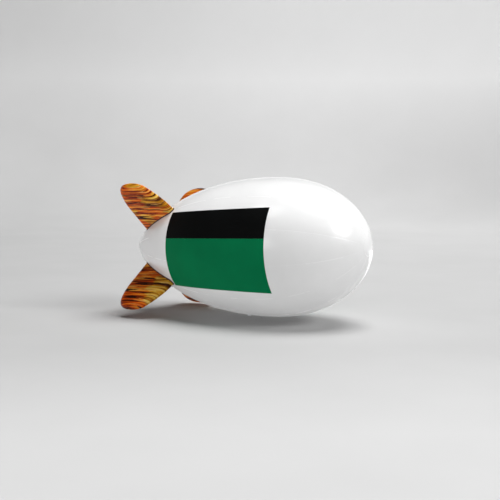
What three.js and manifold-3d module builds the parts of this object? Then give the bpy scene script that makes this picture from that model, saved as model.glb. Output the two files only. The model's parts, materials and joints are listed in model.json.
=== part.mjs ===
// Advertising blimp balloon, in millimetres: +X towards the nose, +Y to port, +Z up.
// The origin is on the hull's axis, at the middle of its length.
import * as THREE from 'three';
import { mergeVertices } from 'three/addons/utils/BufferGeometryUtils.js';
import Module from 'manifold-3d';

const wasm = await Module();
wasm.setup();

// Hull: a body of revolution whose widest station lies ahead of the middle.
const HULL_LENGTH = 6000;
const HULL_RADIUS = 1525;
const WIDEST_STATION = 670;
const NOSE_CURVE = { along: 2.33, across: 1.82 };
const TAIL_CURVE = { along: 2.18, across: 1.24 };
const GORE_COUNT = 12;
const FACETS_PER_GORE = 5;
const STATION_COUNT = 20;
const SHELL_THICKNESS = 10;
const CAP_RADIUS = 180;

// Clearance between pieces, and how far a cutting solid runs past what it cuts.
const GAP = 0.3;
const CUT_MARGIN = 1;
const CUT_REACH = HULL_LENGTH;
const MERGE_DISTANCE = 1e-3;

// Sides of the upright discs, and steps in half a turn of the eyes, knuckles and pins.
const DISC_SIDES = 32;
const EYE_HALF_TURN_STEPS = 16;

// Printed panel: a four-cornered sheet wrapped on each flank, seen from the side.
const PANEL_THICKNESS = 3;
const PANEL_REAR = { x: -1357, top: 757, bottom: -863 };
const PANEL_FRONT = { x: 1338, top: 829, bottom: -948 };
const PANEL_SPLIT_HEIGHT = 184;

// Fins: one outline in the plane of the fin, as x and distance from the hull's axis.
const FIN_DIHEDRAL = 45;
const FIN_THICKNESS = 150;
const FIN_EDGE_BAND = 10;
const FIN_EDGE_ROUNDING = 110;
const FIN_EDGE_STEPS = 3;
const FIN_CURVE_STEPS = 6;
const FIN_TOE = { x: -1420, out: 900 };
const FIN_LEADING_ROOT = { x: -1395, out: 1150 };
const FIN_LEADING_PULL = { x: -1480, out: 1480 };
const FIN_LEADING_END = { x: -1850, out: 1885 };
const FIN_TIP_PULL_FRONT = { x: -1960, out: 1998 };
const FIN_TIP_PULL_REAR = { x: -2450, out: 2085 };
const FIN_TRAILING_START = { x: -2580, out: 1730 };
const FIN_TRAILING_PULL = { x: -2625, out: 1520 };
const FIN_TRAILING_MIDDLE = { x: -2600, out: 1300 };
const FIN_TRAILING_ROOT = { x: -2465, out: 590 };
const FIN_HEEL = { x: -2440, out: 250 };
const CUFF_WIDTH = 22;
const CUFF_THICKNESS = 4;

// Tether points on the keel line: a patch, a webbing loop and a ring that swings in it.
const TETHER_STATIONS = { fore: 420, mid: -240, aft: -900 };
const PATCH_RADIUS = 110;
const PATCH_THICKNESS = 3;
const WEBBING_WIDTH = 50;
const WEBBING_THICKNESS = 3;
const WEBBING_FOOT = 60;
const RING_DROP = 14;
const RING_WIRE = 7;
const RING_WIRE_BEVEL = 2.05;
const RING_INSIDE_WIDTH = 52;
const RING_INSIDE_HEIGHT = 42;
const RING_CORNER = 18;
const RING_CORNER_STEPS = 5;
const EYE_CLEARANCE = 0.6;

// Inflation valve on the keel line: a flanged cup with a cap hinged at its aft side.
const VALVE_STATION = 90;
const VALVE_FLANGE_RADIUS = 62;
const VALVE_FLANGE_THICKNESS = 4;
const VALVE_NECK_RADIUS = 34;
const VALVE_BORE_RADIUS = 26;
const VALVE_HEIGHT = 30;
const VALVE_CUP_DEPTH = 20;
const CAP_THICKNESS = 7;
const HINGE_OFFSET = 45;
const HINGE_KNUCKLE_RADIUS = 5.5;
const HINGE_PIN_RADIUS = 2.5;
const HINGE_BORE_RADIUS = 2.8;
const HINGE_TONGUE_HALF_WIDTH = 6;
const HINGE_EAR_THICKNESS = 4;
const HINGE_EAR_HEIGHT = 16;
const HINGE_EAR_INSET = 2;
const HINGE_SIDE_CLEARANCE = 0.5;
const HINGE_TOP_CLEARANCE = 1;

const MATERIALS = {
  hull: { color: 0xf4f5f6, roughness: 0.25, metalness: 0 },
  panelBlack: { color: 0x0c0f0e, roughness: 0.35, metalness: 0 },
  panelGreen: { color: 0x055a38, roughness: 0.35, metalness: 0 },
  fin: { color: 0x9a5a22, roughness: 0.3, metalness: 0 },
  cuff: { color: 0x3a1806, roughness: 0.4, metalness: 0 },
  patch: { color: 0xe9eaec, roughness: 0.4, metalness: 0 },
  webbing: { color: 0xd9dade, roughness: 0.85, metalness: 0 },
  ring: { color: 0xb9bcc0, roughness: 0.3, metalness: 1 },
  valve: { color: 0xdfe1e3, roughness: 0.45, metalness: 0 },
};

const FACET_COUNT = GORE_COUNT * FACETS_PER_GORE;
const HALF_LENGTH = HULL_LENGTH / 2;

// A closed three.js geometry as a solid that can be cut and joined.
function solidOf(geometry) {
  const bare = geometry.index ? geometry.toNonIndexed() : geometry.clone();
  bare.deleteAttribute('normal');
  bare.deleteAttribute('uv');
  const merged = mergeVertices(bare, MERGE_DISTANCE);
  const vertProperties = merged.attributes.position.array;
  const triVerts = new Uint32Array(merged.index.array);
  return new wasm.Manifold(new wasm.Mesh({ numProp: 3, vertProperties, triVerts }));
}

// A solid's surface as a three.js geometry.
function geometryOf(solid) {
  const { vertProperties, triVerts } = solid.getMesh();
  const geometry = new THREE.BufferGeometry();
  geometry.setAttribute('position', new THREE.BufferAttribute(vertProperties, 3));
  geometry.setIndex(new THREE.BufferAttribute(triVerts, 1));
  geometry.computeVertexNormals();
  return geometry;
}

function hullRadiusAt(x) {
  const towardsNose = x > WIDEST_STATION;
  const reach = towardsNose ? HALF_LENGTH - WIDEST_STATION : HALF_LENGTH + WIDEST_STATION;
  const curve = towardsNose ? NOSE_CURVE : TAIL_CURVE;
  const share = Math.min(1, Math.abs(x - WIDEST_STATION) / reach);
  return HULL_RADIUS * Math.pow(1 - Math.pow(share, curve.along), 1 / curve.across);
}

// Stations close up towards both ends, where the outline turns fastest.
function stationAt(index) {
  return -HALF_LENGTH * Math.cos((Math.PI * index) / STATION_COUNT);
}

// The keel facet's distance below the axis, straight between the hull's stations.
function keelDepthAt(x, out) {
  const index = Math.floor((STATION_COUNT / Math.PI) * Math.acos(-x / HALF_LENGTH));
  const aft = stationAt(index);
  const fore = stationAt(index + 1);
  const share = (x - aft) / (fore - aft);
  const radius = THREE.MathUtils.lerp(hullRadiusAt(aft), hullRadiusAt(fore), share);
  return (radius + out) * Math.cos(Math.PI / FACET_COUNT);
}

// The hull's outline at a station, moved out along its normal.
function outlinePoint(x, out) {
  const step = 1;
  const slope = (hullRadiusAt(x + step) - hullRadiusAt(x - step)) / (2 * step);
  const length = Math.hypot(1, slope);
  return new THREE.Vector2(hullRadiusAt(x) + out / length, x - (out * slope) / length);
}

// The whole hull as one solid, grown by an offset, with a flat facet along the keel.
function hullSolid(out) {
  const points = [new THREE.Vector2(0, -HALF_LENGTH - out)];
  for (let index = 1; index < STATION_COUNT; index += 1) {
    points.push(outlinePoint(stationAt(index), out));
  }
  points.push(new THREE.Vector2(0, HALF_LENGTH + out));
  const turned = new THREE.LatheGeometry(points, FACET_COUNT);
  turned.rotateZ(-Math.PI / 2);
  turned.rotateX(Math.PI / FACET_COUNT);
  return solidOf(turned);
}

// A skin that follows the hull between two offsets.
function layer(inner, outer) {
  return hullSolid(outer).subtract(hullSolid(inner));
}

function boxSolid(low, high) {
  const size = [high[0] - low[0], high[1] - low[1], high[2] - low[2]];
  const box = new THREE.BoxGeometry(...size);
  box.translate((low[0] + high[0]) / 2, (low[1] + high[1]) / 2, (low[2] + high[2]) / 2);
  return solidOf(box);
}

// An upright cylinder on the keel line.
function keelCylinder(x, radius, low, high) {
  const cylinder = new THREE.CylinderGeometry(radius, radius, high - low, DISC_SIDES);
  cylinder.rotateX(Math.PI / 2);
  cylinder.translate(x, 0, (low + high) / 2);
  return solidOf(cylinder);
}

// A shape drawn in x and z, given a width along y.
function sideExtrusion(shape, halfWidth) {
  const settings = { depth: 2 * halfWidth, bevelEnabled: false, curveSegments: EYE_HALF_TURN_STEPS };
  const extruded = new THREE.ExtrudeGeometry(shape, settings);
  extruded.rotateX(Math.PI / 2);
  extruded.translate(0, halfWidth, 0);
  return solidOf(extruded);
}

function polygonShape(corners) {
  return new THREE.Shape(corners.map(([x, y]) => new THREE.Vector2(x, y)));
}

function circleShape(x, y, radius) {
  const shape = new THREE.Shape();
  shape.absarc(x, y, radius, 0, 2 * Math.PI, false);
  return shape;
}

const blimp = new THREE.Group();

function addNode(name, geometry, material) {
  const mesh = new THREE.Mesh(geometry, new THREE.MeshStandardMaterial(material));
  mesh.name = name;
  blimp.add(mesh);
}

// The station on the nose's or tail's curve where the hull has the end caps' radius.
function capStation(curve, reach, direction) {
  const share = Math.pow(1 - Math.pow(CAP_RADIUS / HULL_RADIUS, curve.across), 1 / curve.along);
  return WIDEST_STATION + direction * reach * share;
}

const NOSE_CAP_STATION = capStation(NOSE_CURVE, HALF_LENGTH - WIDEST_STATION, 1);
const TAIL_CAP_STATION = capStation(TAIL_CURVE, HALF_LENGTH + WIDEST_STATION, -1);

// A three-sided wedge along the axis that holds one gore, half a gap inside its seams.
function goreWedge(index) {
  const halfAngle = Math.PI / GORE_COUNT;
  const inset = GAP / 2 / Math.sin(halfAngle);
  const far = 2 * HULL_RADIUS;
  const side = far * Math.tan(halfAngle);
  const corners = [[-inset, 0], [-inset - far, side], [-inset - far, -side]];
  const settings = { depth: NOSE_CAP_STATION - TAIL_CAP_STATION - GAP, bevelEnabled: false };
  const wedge = new THREE.ExtrudeGeometry(polygonShape(corners), settings);
  wedge.rotateY(Math.PI / 2);
  wedge.translate(TAIL_CAP_STATION + GAP / 2, 0, 0);
  wedge.rotateX((2 * Math.PI * index) / GORE_COUNT);
  return solidOf(wedge);
}

function addHull() {
  const shell = layer(-SHELL_THICKNESS, 0);
  for (let index = 0; index < GORE_COUNT; index += 1) {
    const name = `gore_${String(index + 1).padStart(2, '0')}`;
    addNode(name, geometryOf(shell.intersect(goreWedge(index))), MATERIALS.hull);
  }
  const reach = CUT_REACH;
  const ahead = boxSolid([NOSE_CAP_STATION + GAP / 2, -reach, -reach], [reach, reach, reach]);
  const behind = boxSolid([-reach, -reach, -reach], [TAIL_CAP_STATION - GAP / 2, reach, reach]);
  addNode('nose_cap', geometryOf(shell.intersect(ahead)), MATERIALS.hull);
  addNode('tail_cap', geometryOf(shell.intersect(behind)), MATERIALS.hull);
}

// One field of the printed panel, between two straight edges seen from the side.
function panelField(side, rearLow, rearHigh, frontLow, frontHigh) {
  const corners = [
    [PANEL_REAR.x, rearLow],
    [PANEL_FRONT.x, frontLow],
    [PANEL_FRONT.x, frontHigh],
    [PANEL_REAR.x, rearHigh],
  ];
  const window = sideExtrusion(polygonShape(corners), HULL_RADIUS);
  return window.translate([0, side * (HULL_RADIUS + SHELL_THICKNESS), 0]);
}

function addPanels() {
  const skin = layer(GAP, GAP + PANEL_THICKNESS);
  const split = PANEL_SPLIT_HEIGHT;
  const sides = { starboard: -1, port: 1 };
  for (const [name, side] of Object.entries(sides)) {
    const upper = panelField(side, split + GAP, PANEL_REAR.top, split + GAP, PANEL_FRONT.top);
    const lower = panelField(side, PANEL_REAR.bottom, split, PANEL_FRONT.bottom, split);
    addNode(`panel_black_${name}`, geometryOf(skin.intersect(upper)), MATERIALS.panelBlack);
    addNode(`panel_green_${name}`, geometryOf(skin.intersect(lower)), MATERIALS.panelGreen);
  }
}

// A fin as a cushion with rounded edges, grown all round by an offset, pointing up.
function finBlank(grow) {
  const outline = new THREE.Shape();
  outline.moveTo(FIN_TOE.x, FIN_TOE.out);
  outline.lineTo(FIN_LEADING_ROOT.x, FIN_LEADING_ROOT.out);
  outline.quadraticCurveTo(
    FIN_LEADING_PULL.x, FIN_LEADING_PULL.out,
    FIN_LEADING_END.x, FIN_LEADING_END.out,
  );
  outline.bezierCurveTo(
    FIN_TIP_PULL_FRONT.x, FIN_TIP_PULL_FRONT.out,
    FIN_TIP_PULL_REAR.x, FIN_TIP_PULL_REAR.out,
    FIN_TRAILING_START.x, FIN_TRAILING_START.out,
  );
  outline.quadraticCurveTo(
    FIN_TRAILING_PULL.x, FIN_TRAILING_PULL.out,
    FIN_TRAILING_MIDDLE.x, FIN_TRAILING_MIDDLE.out,
  );
  outline.lineTo(FIN_TRAILING_ROOT.x, FIN_TRAILING_ROOT.out);
  outline.lineTo(FIN_HEEL.x, FIN_HEEL.out);
  const band = FIN_EDGE_BAND + 2 * grow;
  const fin = new THREE.ExtrudeGeometry(outline, {
    depth: band,
    bevelThickness: (FIN_THICKNESS - FIN_EDGE_BAND) / 2,
    bevelSize: FIN_EDGE_ROUNDING,
    bevelOffset: grow - FIN_EDGE_ROUNDING,
    bevelSegments: FIN_EDGE_STEPS,
    curveSegments: FIN_CURVE_STEPS,
  });
  fin.translate(0, 0, -band / 2);
  fin.rotateX(Math.PI / 2);
  return solidOf(fin);
}

// Each fin stands on the hull's skin, in a cuff of tape that follows its root.
function addFins() {
  const outside = hullSolid(GAP);
  const cuffOutside = hullSolid(GAP + CUFF_THICKNESS);
  const fin = finBlank(0);
  const hole = finBlank(GAP);
  const collar = finBlank(CUFF_WIDTH);
  // Names, and the turn about the axis from straight up towards starboard, in degrees.
  const places = [
    { name: 'upper_starboard', turn: 90 - FIN_DIHEDRAL },
    { name: 'lower_starboard', turn: 90 + FIN_DIHEDRAL },
    { name: 'lower_port', turn: 270 - FIN_DIHEDRAL },
    { name: 'upper_port', turn: 270 + FIN_DIHEDRAL },
  ];
  for (const { name, turn } of places) {
    const rotation = [turn, 0, 0];
    const seated = fin.rotate(rotation).subtract(outside);
    const band = collar.rotate(rotation).intersect(cuffOutside).subtract(outside);
    const cuff = band.subtract(hole.rotate(rotation));
    addNode(`fin_${name}`, geometryOf(seated), MATERIALS.fin);
    addNode(`fin_cuff_${name}`, geometryOf(cuff), MATERIALS.cuff);
  }
}

// A flat-bottomed ring outline drawn in y and z, with round lower corners, about its bar.
function ringOutline(halfWidth, top, bottom, corner) {
  const shape = new THREE.Shape();
  shape.moveTo(-halfWidth, top);
  shape.lineTo(-halfWidth, bottom + corner);
  shape.absarc(-halfWidth + corner, bottom + corner, corner, Math.PI, 1.5 * Math.PI, false);
  shape.lineTo(halfWidth - corner, bottom);
  shape.absarc(halfWidth - corner, bottom + corner, corner, 1.5 * Math.PI, 2 * Math.PI, false);
  shape.lineTo(halfWidth, top);
  return shape;
}

// A ring of bevelled wire that hangs from its straight bar, whose middle is at the origin.
function ringGeometry() {
  const half = RING_WIRE / 2;
  const inside = RING_INSIDE_WIDTH / 2;
  const insideBottom = -half - RING_INSIDE_HEIGHT;
  const outer = ringOutline(inside + RING_WIRE, half, insideBottom - RING_WIRE, RING_CORNER + RING_WIRE);
  const inner = ringOutline(inside, -half, insideBottom, RING_CORNER);
  outer.holes.push(inner);
  const ring = new THREE.ExtrudeGeometry(outer, {
    depth: RING_WIRE - 2 * RING_WIRE_BEVEL,
    bevelThickness: RING_WIRE_BEVEL,
    bevelSize: RING_WIRE_BEVEL,
    bevelOffset: -RING_WIRE_BEVEL,
    bevelSegments: 1,
    curveSegments: RING_CORNER_STEPS,
  });
  ring.translate(0, 0, -(RING_WIRE / 2 - RING_WIRE_BEVEL));
  ring.rotateX(Math.PI / 2);
  ring.rotateZ(Math.PI / 2);
  return ring;
}

// Two layers of webbing sewn to the patch, closed round the ring's bar in an eye.
function webbingSolid(x, barHeight, patchFace, footFace) {
  const bore = RING_WIRE / 2 + EYE_CLEARANCE;
  const eyeRadius = bore + WEBBING_THICKNESS;
  const halfWidth = WEBBING_WIDTH / 2;
  const eye = sideExtrusion(circleShape(x, barHeight, eyeRadius), halfWidth);
  const hole = sideExtrusion(circleShape(x, barHeight, bore), halfWidth + CUT_MARGIN);
  const neckHigh = barHeight + 2 * RING_DROP;
  const neck = boxSolid(
    [x - WEBBING_THICKNESS, -halfWidth, barHeight],
    [x + WEBBING_THICKNESS, halfWidth, neckHigh],
  );
  const footBox = boxSolid(
    [x - WEBBING_FOOT, -halfWidth, barHeight - RING_DROP],
    [x + WEBBING_FOOT, halfWidth, neckHigh],
  );
  const foot = footFace.intersect(footBox);
  return eye.add(neck).add(foot).subtract(hole).subtract(patchFace);
}

function addTetherPoints() {
  const skin = layer(GAP, GAP + PATCH_THICKNESS);
  const patchFace = hullSolid(2 * GAP + PATCH_THICKNESS);
  const footFace = hullSolid(2 * GAP + PATCH_THICKNESS + WEBBING_THICKNESS);
  for (const [name, x] of Object.entries(TETHER_STATIONS)) {
    const faceHeight = -keelDepthAt(x, 2 * GAP + PATCH_THICKNESS);
    const barHeight = faceHeight - RING_DROP;
    const disc = keelCylinder(x, PATCH_RADIUS, -CUT_REACH, 0);
    addNode(`tether_patch_${name}`, geometryOf(skin.intersect(disc)), MATERIALS.patch);
    const webbing = webbingSolid(x, barHeight, patchFace, footFace);
    addNode(`tether_webbing_${name}`, geometryOf(webbing), MATERIALS.webbing);
    const ring = ringGeometry();
    ring.translate(x, 0, barHeight);
    addNode(`tether_ring_${name}`, ring, MATERIALS.ring);
  }
}

// The cup's rim is level, and its flange lies on the hull.
const VALVE_RIM_HEIGHT = -keelDepthAt(VALVE_STATION, VALVE_HEIGHT);
const HINGE = { x: VALVE_STATION - HINGE_OFFSET, z: VALVE_RIM_HEIGHT - GAP - CAP_THICKNESS / 2 };

// The two ears on the neck that carry the hinge pin, with a slot for the cap's tongue.
function hingeEars() {
  const rim = VALVE_RIM_HEIGHT;
  const neckSide = VALVE_STATION - VALVE_NECK_RADIUS;
  const corners = [
    [neckSide + HINGE_EAR_INSET, rim + HINGE_EAR_HEIGHT],
    [HINGE.x - HINGE_KNUCKLE_RADIUS, HINGE.z],
    [HINGE.x + HINGE_KNUCKLE_RADIUS, HINGE.z],
    [HINGE.x + HINGE_KNUCKLE_RADIUS, rim + HINGE_TOP_CLEARANCE],
    [neckSide + HINGE_EAR_INSET, rim + HINGE_TOP_CLEARANCE],
  ];
  const inner = HINGE_TONGUE_HALF_WIDTH + HINGE_SIDE_CLEARANCE;
  const outer = inner + HINGE_EAR_THICKNESS;
  const web = sideExtrusion(polygonShape(corners), outer);
  const knuckle = sideExtrusion(circleShape(HINGE.x, HINGE.z, HINGE_KNUCKLE_RADIUS), outer);
  const slotEnd = neckSide - HINGE_SIDE_CLEARANCE;
  const slot = boxSolid([-CUT_REACH, -inner, -CUT_REACH], [slotEnd, inner, 0]);
  const pin = sideExtrusion(circleShape(HINGE.x, HINGE.z, HINGE_PIN_RADIUS), outer);
  return web.add(knuckle).subtract(slot).add(pin);
}

function valveBody() {
  const rim = VALVE_RIM_HEIGHT;
  const neck = keelCylinder(VALVE_STATION, VALVE_NECK_RADIUS, rim, rim + 2 * VALVE_HEIGHT);
  const floor = rim + VALVE_CUP_DEPTH;
  const bore = keelCylinder(VALVE_STATION, VALVE_BORE_RADIUS, rim - CUT_MARGIN, floor);
  const disc = keelCylinder(VALVE_STATION, VALVE_FLANGE_RADIUS, -CUT_REACH, 0);
  const flange = hullSolid(GAP + VALVE_FLANGE_THICKNESS).intersect(disc);
  return neck.add(flange).subtract(bore).add(hingeEars()).subtract(hullSolid(GAP));
}

function valveCap() {
  const top = VALVE_RIM_HEIGHT - GAP;
  const low = top - CAP_THICKNESS;
  const disc = keelCylinder(VALVE_STATION, VALVE_NECK_RADIUS, low, top);
  const tongue = boxSolid(
    [HINGE.x, -HINGE_TONGUE_HALF_WIDTH, low],
    [VALVE_STATION, HINGE_TONGUE_HALF_WIDTH, top],
  );
  const half = HINGE_TONGUE_HALF_WIDTH;
  const knuckle = sideExtrusion(circleShape(HINGE.x, HINGE.z, HINGE_KNUCKLE_RADIUS), half);
  const bore = sideExtrusion(circleShape(HINGE.x, HINGE.z, HINGE_BORE_RADIUS), half + CUT_MARGIN);
  return disc.add(tongue).add(knuckle).subtract(bore);
}

addHull();
addPanels();
addFins();
addTetherPoints();
addNode('valve_body', geometryOf(valveBody()), MATERIALS.valve);
addNode('valve_cap', geometryOf(valveCap()), MATERIALS.valve);

export default blimp;
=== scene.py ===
import json
import math

import bmesh
import bpy
import numpy as np
from mathutils import Matrix, Vector


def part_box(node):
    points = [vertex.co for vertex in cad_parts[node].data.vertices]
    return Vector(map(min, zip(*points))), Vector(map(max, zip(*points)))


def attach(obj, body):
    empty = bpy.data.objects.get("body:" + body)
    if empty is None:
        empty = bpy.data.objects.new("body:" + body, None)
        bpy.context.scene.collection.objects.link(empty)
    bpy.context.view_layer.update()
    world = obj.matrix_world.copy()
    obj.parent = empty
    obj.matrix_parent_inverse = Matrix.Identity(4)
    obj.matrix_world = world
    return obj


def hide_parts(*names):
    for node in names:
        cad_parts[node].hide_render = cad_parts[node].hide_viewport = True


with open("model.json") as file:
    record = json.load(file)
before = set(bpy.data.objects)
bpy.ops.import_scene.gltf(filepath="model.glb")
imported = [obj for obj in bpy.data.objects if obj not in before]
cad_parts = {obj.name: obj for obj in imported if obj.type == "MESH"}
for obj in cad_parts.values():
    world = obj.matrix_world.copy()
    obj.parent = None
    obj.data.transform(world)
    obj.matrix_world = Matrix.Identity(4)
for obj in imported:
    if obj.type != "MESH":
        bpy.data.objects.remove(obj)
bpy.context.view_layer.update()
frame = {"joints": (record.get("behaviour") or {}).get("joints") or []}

MM = 0.001

# Hull profile, in metres: a body of revolution whose widest station lies ahead of the middle.
HALF_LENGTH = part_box("nose_cap")[1].x
HULL_RADIUS = 1.525
WIDEST_STATION = 0.670
NOSE_ALONG, NOSE_ACROSS = 2.33, 1.82
TAIL_ALONG, TAIL_ACROSS = 2.18, 1.24

# End caps over the gores' ends, with two raised weld rings.
CAP_RADIUS = 0.180
CAP_LIFT, CAP_UNDERSIDE = 1.3 * MM, 0.2 * MM
CAP_WELDS, CAP_WELD_WIDTH, CAP_WELD_HEIGHT = (0.172, 0.190), 3 * MM, 0.35 * MM
CAP_GRAIN_MIDDLE, CAP_GRAIN_REACH = 0.181, 0.016

# Gores: twelve strips of film, each lapped over the next one and welded to it.
GORE_COUNT = 12
GORE_ANGLE = 2 * math.pi / GORE_COUNT
STATION_PITCH = 17 * MM
FILM_THICKNESS = 0.8 * MM
# A gore's columns of points, measured inwards from its seams, and outwards on its lap.
SEAM_COLUMNS = np.array([0, 5, 12, 22, 38, 62]) * MM
LAP_COLUMNS = np.array([2.5, 10, 19.5, 20]) * MM
LAP_LIFT = 0.6 * MM
CREASE_DEPTH = 0.8 * MM
CREASE_REACH = 60 * MM
PUCKER_DEPTH = 0.5 * MM
PUCKER_REACH = 70 * MM
PUCKER_PITCH = 105 * MM
FADE_RADIUS = 0.6

# Printed panel on each flank: the stations of its rear and front ends, and its heights there.
PANEL_ENDS = (-1.357, 1.338)
PANEL_TOP = (0.757, 0.829)
PANEL_BOTTOM = (-0.863, -0.948)
PANEL_SPLIT_HEIGHT = 0.184
PANEL_SPLIT_GAP = 0.3 * MM
PANEL_PITCH = 15 * MM
PANEL_UNDERSIDE = 1.0 * MM
PANEL_OUTSIDE = 1.5 * MM

# Fin outline, as x and distance from the hull's axis: from the toe inside the hull round to the
# heel, each leg with its number of steps and the corners of its curve.
FIN_TOE = (-1.420, 0.900)
FIN_LEGS = [
    (12, [(-1.395, 1.150)]),
    (40, [(-1.480, 1.480), (-1.850, 1.885)]),
    (70, [(-1.960, 1.998), (-2.450, 2.085), (-2.580, 1.730)]),
    (24, [(-2.625, 1.520), (-2.600, 1.300)]),
    (40, [(-2.465, 0.590)]),
    (16, [(-2.440, 0.250)]),
]
FIN_CENTRE = (-2.080, 1.330)

# The inflated fin's section, and the distances of its rings of points from its free edge.
FIN_RINGS = np.array([0, 4.5, 9, 10.5, 13, 17, 23, 31, 42, 56, 74, 96, 120]) * MM
FIN_HALF_THICKNESS = 0.075
FIN_CROWN = 6 * MM
FIN_CROWN_REACH = 0.18
FIN_EDGE_ROUNDING = 0.105
FIN_EDGE_POWER = 0.58
FIN_PUCKER_REACH = 28 * MM
FIN_ROOT_INSET = 15 * MM
WELD_WIDTH = 9 * MM
WELD_HALF_THICKNESS = 1.2 * MM
FIN_PUCKER_DEPTH = 1.8 * MM
FIN_PUCKER_PITCH = 75 * MM
FIN_FREE_POINTS, FIN_ROOT_POINTS = 250, 90

# Each fin's turn about the hull's axis, in degrees, and its painted shade: a factor that darkens
# its print, most on the lower fins and the far upper fin, for how the light falls on each.
FINS = {
    "upper_starboard": (45, 0.92),
    "lower_starboard": (135, 0.62),
    "lower_port": (225, 0.62),
    "upper_port": (315, 0.56),
}

# Tether points and valve on the keel line.
TETHER_STATIONS = {"fore": 0.420, "mid": -0.240, "aft": -0.900}
PATCH_RADIUS = 0.110
PATCH_LIFT, PATCH_UNDERSIDE, PATCH_EDGE_DROP = 2.0 * MM, 0.5 * MM, 0.6 * MM
PATCH_WELDS, PATCH_WELD_WIDTH, PATCH_WELD_HEIGHT = (0.098, 0.104), 1.6 * MM, 0.4 * MM
PATCH_GRAIN_START = 0.094
WEBBING_THICKNESS = 2.2 * MM
WEBBING_FOOT = 60 * MM
STITCH_PITCH = 4.3 * MM
RING_WIRE = 7 * MM
RING_INSIDE_WIDTH = 52 * MM
RING_INSIDE_HEIGHT = 42 * MM
RING_UPPER_CORNER, RING_LOWER_CORNER = 4.4 * MM, 21.5 * MM
RING_CLEARANCE = 0.6 * MM
VALVE_STATION = 0.090
KNURL_RIBS, KNURL_DEPTH = 60, 0.35 * MM

# Camera: found from the hull's outline, the panel's ends and the fins in the photograph.
PHOTO_SIZE = 500
FOCAL_LENGTH_PIXELS = 977
CAMERA_PLACE = Vector((11.529, -18.502, 0.2837))
HULL_CENTRE_PIXEL = (246.0, 246.6)
SENSOR_WIDTH_MM = 36
PICTURE_RIGHT = (0.849, 0.529, 0.0)
TOWARDS_CAMERA = (0.529, -0.849, 0.0)
FAR_RIGHT = (0.224, 0.964, 0.0)

# The studio's floor: it rises away from the camera, as the shadow in the photograph shows.
FLOOR_TILT = Matrix.Rotation(math.radians(4), 4, Vector(PICTURE_RIGHT))
FLOOR_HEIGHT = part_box("tether_ring_fore")[0].z - 0.012

# A noise texture's values lie mostly between these two.
NOISE_LOW, NOISE_HIGH = 0.3, 0.7


def points_of(x, y, z):
    """Points from coordinates whose shapes broadcast to one."""
    return np.stack(np.broadcast_arrays(x, y, z), -1)


def circle(count):
    return np.linspace(0, 2 * math.pi, count + 1)[:-1]


def lengths_along(path):
    """The distance along a flat path from its first point to each of its points."""
    return np.concatenate([[0], np.cumsum(np.hypot(*np.diff(path, axis=0).T))])


def resample(path, count):
    lengths = lengths_along(path)
    at = np.linspace(0, lengths[-1], count)
    return np.stack([np.interp(at, lengths, path[:, k]) for k in (0, 1)], -1)


def hull_radius(x):
    x = np.asarray(x, dtype=float)
    ahead = x > WIDEST_STATION
    reach = np.where(ahead, HALF_LENGTH - WIDEST_STATION, HALF_LENGTH + WIDEST_STATION)
    along = np.where(ahead, NOSE_ALONG, TAIL_ALONG)
    across = np.where(ahead, NOSE_ACROSS, TAIL_ACROSS)
    share = np.clip(np.abs(x - WIDEST_STATION) / reach, 0, 1)
    return HULL_RADIUS * (1 - share**along) ** (1 / across)


def station_of(radius, end):
    """The station where the hull has that radius, towards the nose (1) or the tail (-1)."""
    along, across = (NOSE_ALONG, NOSE_ACROSS) if end > 0 else (TAIL_ALONG, TAIL_ACROSS)
    share = (1 - (np.asarray(radius) / HULL_RADIUS) ** across) ** (1 / along)
    return WIDEST_STATION + end * (HALF_LENGTH - end * WIDEST_STATION) * share


def hull_slope(x):
    step = 0.5 * MM
    low = np.clip(x - step, -HALF_LENGTH, HALF_LENGTH)
    high = np.clip(x + step, -HALF_LENGTH, HALF_LENGTH)
    return (hull_radius(high) - hull_radius(low)) / (high - low)


def skin_height(x, y, offset):
    """Height over the axis, up or down, of a skin that lies an offset outside the hull."""
    return np.sqrt((hull_radius(x) + offset) ** 2 - np.asarray(y) ** 2)


ARC_STATIONS = -HALF_LENGTH * np.cos(np.linspace(0, math.pi, 4001))
ARC_LENGTHS = lengths_along(np.stack([ARC_STATIONS, hull_radius(ARC_STATIONS)], -1))


def arc_length(x):
    return np.interp(x, ARC_STATIONS, ARC_LENGTHS)


def stations_between(low, high, pitch):
    start, end = arc_length(low), arc_length(high)
    count = int(round((end - start) / pitch)) + 1
    return np.interp(np.linspace(start, end, count), ARC_LENGTHS, ARC_STATIONS)


def on_hull(x, angle, offset):
    """Points off the hull along its normal; the angle turns from straight up to starboard."""
    slope = hull_slope(x)
    length = np.hypot(1, slope)
    radius = hull_radius(x) + offset / length
    return points_of(x - offset * slope / length, -radius * np.sin(angle), radius * np.cos(angle))


def relief(x, angle):
    """How far the film is drawn in at the seams, with puckers that die out beside them."""
    turn = angle / GORE_ANGLE
    seam = np.mod(np.floor(turn) + 0.5, GORE_COUNT)
    away = np.abs(turn - np.floor(turn) - 0.5) * GORE_ANGLE * hull_radius(x)
    along = arc_length(x)
    # The puckers' spacing and depth wander along a seam, and differ between seams.
    phase = 2 * math.pi * along / PUCKER_PITCH
    phase = phase + 1.4 * np.sin(1.9 * along + 2.3 * seam) + 2.1 * seam
    strength = 0.6 + 0.4 * np.sin(0.83 * along + 1.7 * seam)
    pucker = PUCKER_DEPTH * strength * (0.5 - 0.5 * np.cos(phase))
    crease = CREASE_DEPTH * np.exp(-away / CREASE_REACH)
    fade = np.clip(hull_radius(x) / FADE_RADIUS, 0, 1)
    return -fade * (crease + pucker * np.exp(-away / PUCKER_REACH))


def grid_faces(rows, columns, start=0, flip=False, wrap=False):
    """Quads between neighbouring rows and columns; wrap joins the last column to the first."""
    last = columns if wrap else columns - 1
    row, column = np.meshgrid(np.arange(rows - 1), np.arange(last), indexing="ij")
    after = (column + 1) % columns
    corners = [
        row * columns + column,
        row * columns + after,
        (row + 1) * columns + after,
        (row + 1) * columns + column,
    ]
    faces = np.stack(corners, -1).reshape(-1, 4) + start
    return faces[:, ::-1] if flip else faces


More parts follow.
